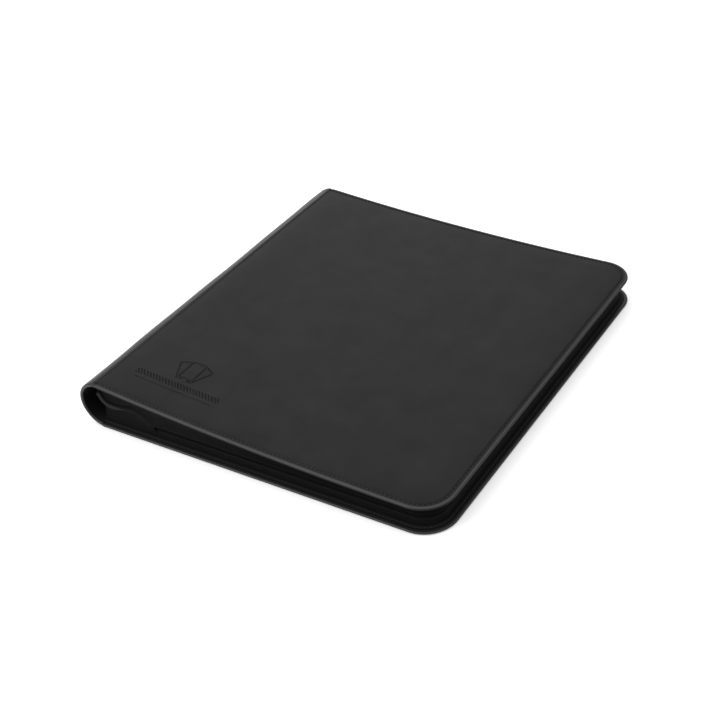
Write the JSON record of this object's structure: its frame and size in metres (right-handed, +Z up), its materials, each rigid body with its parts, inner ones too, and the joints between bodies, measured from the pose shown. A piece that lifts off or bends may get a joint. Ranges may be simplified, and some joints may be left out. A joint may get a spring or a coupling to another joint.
{
  "type": "zip-around card binder",
  "caption": "Zip-around trading card binder with padded leatherette covers, a looped soft spine and side-loading pocket leaves that fan out as it opens.",
  "frame": {"origin": "on the table, under the middle of the closed binder's box", "axes": "+X from the spine to the fore-edge, +Y along the spine from the bottom to the top edge, +Z up from the back cover to the front cover"},
  "size_m": [0.3264, 0.345, 0.0419],
  "materials": {
    "leatherette": "matte",
    "board": "matte",
    "padding": "matte",
    "lining": "matte",
    "thread": "satin",
    "tape": "matte",
    "coil": "satin",
    "zipper_metal": "satin",
    "sheet": "satin",
    "film": "gloss"
  },
  "bodies": {
    "back_cover": {"back_cover_skin": "leatherette", "back_cover_board": "board", "back_cover_lining": "lining", "back_cover_stitching": "thread", "lower_zipper_tape": "tape", "lower_zipper_coil": "coil", "zipper_stops": "zipper_metal"},
    "spine": {"spine_skin": "leatherette", "spine_liner": "lining", "binding_strip": "leatherette", "binding_stitching": "thread"},
    "front_cover": {"front_cover_skin": "leatherette", "front_cover_padding": "padding", "front_cover_board": "board", "front_cover_lining": "lining", "front_cover_stitching": "thread", "upper_zipper_tape": "tape", "upper_zipper_coil": "coil"},
    "slider": {"zipper_slider": "zipper_metal"},
    "pull": {"pull_tab": "zipper_metal"},
    "leaf_01": {"leaf_01_sheet": "sheet", "leaf_01_pockets": "film"},
    "leaf_02": {"leaf_02_sheet": "sheet", "leaf_02_pockets": "film"},
    "leaf_03": {"leaf_03_sheet": "sheet", "leaf_03_pockets": "film"},
    "leaf_04": {"leaf_04_sheet": "sheet", "leaf_04_pockets": "film"},
    "leaf_05": {"leaf_05_sheet": "sheet", "leaf_05_pockets": "film"},
    "leaf_06": {"leaf_06_sheet": "sheet", "leaf_06_pockets": "film"},
    "leaf_07": {"leaf_07_sheet": "sheet", "leaf_07_pockets": "film"},
    "leaf_08": {"leaf_08_sheet": "sheet", "leaf_08_pockets": "film"},
    "leaf_09": {"leaf_09_sheet": "sheet", "leaf_09_pockets": "film"},
    "leaf_10": {"leaf_10_sheet": "sheet", "leaf_10_pockets": "film"},
    "leaf_11": {"leaf_11_sheet": "sheet", "leaf_11_pockets": "film"},
    "leaf_12": {"leaf_12_sheet": "sheet", "leaf_12_pockets": "film"},
    "leaf_13": {"leaf_13_sheet": "sheet", "leaf_13_pockets": "film"},
    "leaf_14": {"leaf_14_sheet": "sheet", "leaf_14_pockets": "film"},
    "leaf_15": {"leaf_15_sheet": "sheet", "leaf_15_pockets": "film"},
    "leaf_16": {"leaf_16_sheet": "sheet", "leaf_16_pockets": "film"},
    "leaf_17": {"leaf_17_sheet": "sheet", "leaf_17_pockets": "film"},
    "leaf_18": {"leaf_18_sheet": "sheet", "leaf_18_pockets": "film"},
    "leaf_19": {"leaf_19_sheet": "sheet", "leaf_19_pockets": "film"},
    "leaf_20": {"leaf_20_sheet": "sheet", "leaf_20_pockets": "film"}
  },
  "joints": [
    {"name": "spine_fold", "type": "hinge", "parent": "back_cover", "child": "spine", "pos_m": [-0.1468, 0, 0], "axis": [0, -1, 0], "range_deg": [0, 90]},
    {"name": "front_cover_fold", "type": "hinge", "parent": "spine", "child": "front_cover", "pos_m": [-0.1468, 0, 0.0416], "axis": [0, -1, 0], "range_deg": [0, 93.3]},
    {"name": "leaf_01_turn", "type": "hinge", "parent": "spine", "child": "leaf_01", "pos_m": [-0.1428, 0, 0.0042], "axis": [0, -1, 0], "range_deg": [-75.1, 0]},
    {"name": "leaf_02_turn", "type": "hinge", "parent": "spine", "child": "leaf_02", "pos_m": [-0.1428, 0, 0.00525], "axis": [0, -1, 0], "range_deg": [-70.1, 0]},
    {"name": "leaf_03_turn", "type": "hinge", "parent": "spine", "child": "leaf_03", "pos_m": [-0.1428, 0, 0.0063], "axis": [0, -1, 0], "range_deg": [-65.1, 0]},
    {"name": "leaf_04_turn", "type": "hinge", "parent": "spine", "child": "leaf_04", "pos_m": [-0.1428, 0, 0.00735], "axis": [0, -1, 0], "range_deg": [-60.1, 0]},
    {"name": "leaf_05_turn", "type": "hinge", "parent": "spine", "child": "leaf_05", "pos_m": [-0.1428, 0, 0.0084], "axis": [0, -1, 0], "range_deg": [-55.1, 0]},
    {"name": "leaf_06_turn", "type": "hinge", "parent": "spine", "child": "leaf_06", "pos_m": [-0.1428, 0, 0.00945], "axis": [0, -1, 0], "range_deg": [-50.1, 0]},
    {"name": "leaf_07_turn", "type": "hinge", "parent": "spine", "child": "leaf_07", "pos_m": [-0.1428, 0, 0.0105], "axis": [0, -1, 0], "range_deg": [-45.1, 0]},
    {"name": "leaf_08_turn", "type": "hinge", "parent": "spine", "child": "leaf_08", "pos_m": [-0.1428, 0, 0.01155], "axis": [0, -1, 0], "range_deg": [-40.1, 0]},
    {"name": "leaf_09_turn", "type": "hinge", "parent": "spine", "child": "leaf_09", "pos_m": [-0.1428, 0, 0.0126], "axis": [0, -1, 0], "range_deg": [-35.1, 0]},
    {"name": "leaf_10_turn", "type": "hinge", "parent": "spine", "child": "leaf_10", "pos_m": [-0.1428, 0, 0.01365], "axis": [0, -1, 0], "range_deg": [-30.1, 0]},
    {"name": "leaf_11_turn", "type": "hinge", "parent": "spine", "child": "leaf_11", "pos_m": [-0.1428, 0, 0.0147], "axis": [0, -1, 0], "range_deg": [0, 30.1]},
    {"name": "leaf_12_turn", "type": "hinge", "parent": "spine", "child": "leaf_12", "pos_m": [-0.1428, 0, 0.01575], "axis": [0, -1, 0], "range_deg": [0, 35.1]},
    {"name": "leaf_13_turn", "type": "hinge", "parent": "spine", "child": "leaf_13", "pos_m": [-0.1428, 0, 0.0168], "axis": [0, -1, 0], "range_deg": [0, 40.1]},
    {"name": "leaf_14_turn", "type": "hinge", "parent": "spine", "child": "leaf_14", "pos_m": [-0.1428, 0, 0.01785], "axis": [0, -1, 0], "range_deg": [0, 45.1]},
    {"name": "leaf_15_turn", "type": "hinge", "parent": "spine", "child": "leaf_15", "pos_m": [-0.1428, 0, 0.0189], "axis": [0, -1, 0], "range_deg": [0, 50.1]},
    {"name": "leaf_16_turn", "type": "hinge", "parent": "spine", "child": "leaf_16", "pos_m": [-0.1428, 0, 0.01995], "axis": [0, -1, 0], "range_deg": [0, 55.1]},
    {"name": "leaf_17_turn", "type": "hinge", "parent": "spine", "child": "leaf_17", "pos_m": [-0.1428, 0, 0.021], "axis": [0, -1, 0], "range_deg": [0, 60.1]},
    {"name": "leaf_18_turn", "type": "hinge", "parent": "spine", "child": "leaf_18", "pos_m": [-0.1428, 0, 0.02205], "axis": [0, -1, 0], "range_deg": [0, 65.1]},
    {"name": "leaf_19_turn", "type": "hinge", "parent": "spine", "child": "leaf_19", "pos_m": [-0.1428, 0, 0.0231], "axis": [0, -1, 0], "range_deg": [0, 70.1]},
    {"name": "leaf_20_turn", "type": "hinge", "parent": "spine", "child": "leaf_20", "pos_m": [-0.1428, 0, 0.02415], "axis": [0, -1, 0], "range_deg": [0, 75.1]},
    {"name": "slider_run", "type": "slide", "parent": "back_cover", "child": "slider", "axis": [1, 0, 0], "range_m": [0, 0.2]},
    {"name": "pull_swing", "type": "hinge", "parent": "slider", "child": "pull", "pos_m": [-0.1018, 0.1677, 0.0107], "axis": [0, 0, 1], "range_deg": [0, 170]}
  ],
  "couplings": [
    {"joint": "front_cover_fold", "follows": "spine_fold", "ratio": 1.0355},
    {"joint": "leaf_01_turn", "follows": "spine_fold", "ratio": -0.83333},
    {"joint": "leaf_02_turn", "follows": "spine_fold", "ratio": -0.77778},
    {"joint": "leaf_03_turn", "follows": "spine_fold", "ratio": -0.72222},
    {"joint": "leaf_04_turn", "follows": "spine_fold", "ratio": -0.66667},
    {"joint": "leaf_05_turn", "follows": "spine_fold", "ratio": -0.61111},
    {"joint": "leaf_06_turn", "follows": "spine_fold", "ratio": -0.55556},
    {"joint": "leaf_07_turn", "follows": "spine_fold", "ratio": -0.5},
    {"joint": "leaf_08_turn", "follows": "spine_fold", "ratio": -0.44444},
    {"joint": "leaf_09_turn", "follows": "spine_fold", "ratio": -0.38889},
    {"joint": "leaf_10_turn", "follows": "spine_fold", "ratio": -0.33333},
    {"joint": "leaf_11_turn", "follows": "spine_fold", "ratio": 0.33333},
    {"joint": "leaf_12_turn", "follows": "spine_fold", "ratio": 0.38889},
    {"joint": "leaf_13_turn", "follows": "spine_fold", "ratio": 0.44444},
    {"joint": "leaf_14_turn", "follows": "spine_fold", "ratio": 0.5},
    {"joint": "leaf_15_turn", "follows": "spine_fold", "ratio": 0.55556},
    {"joint": "leaf_16_turn", "follows": "spine_fold", "ratio": 0.61111},
    {"joint": "leaf_17_turn", "follows": "spine_fold", "ratio": 0.66667},
    {"joint": "leaf_18_turn", "follows": "spine_fold", "ratio": 0.72222},
    {"joint": "leaf_19_turn", "follows": "spine_fold", "ratio": 0.77778},
    {"joint": "leaf_20_turn", "follows": "spine_fold", "ratio": 0.83333}
  ]
}
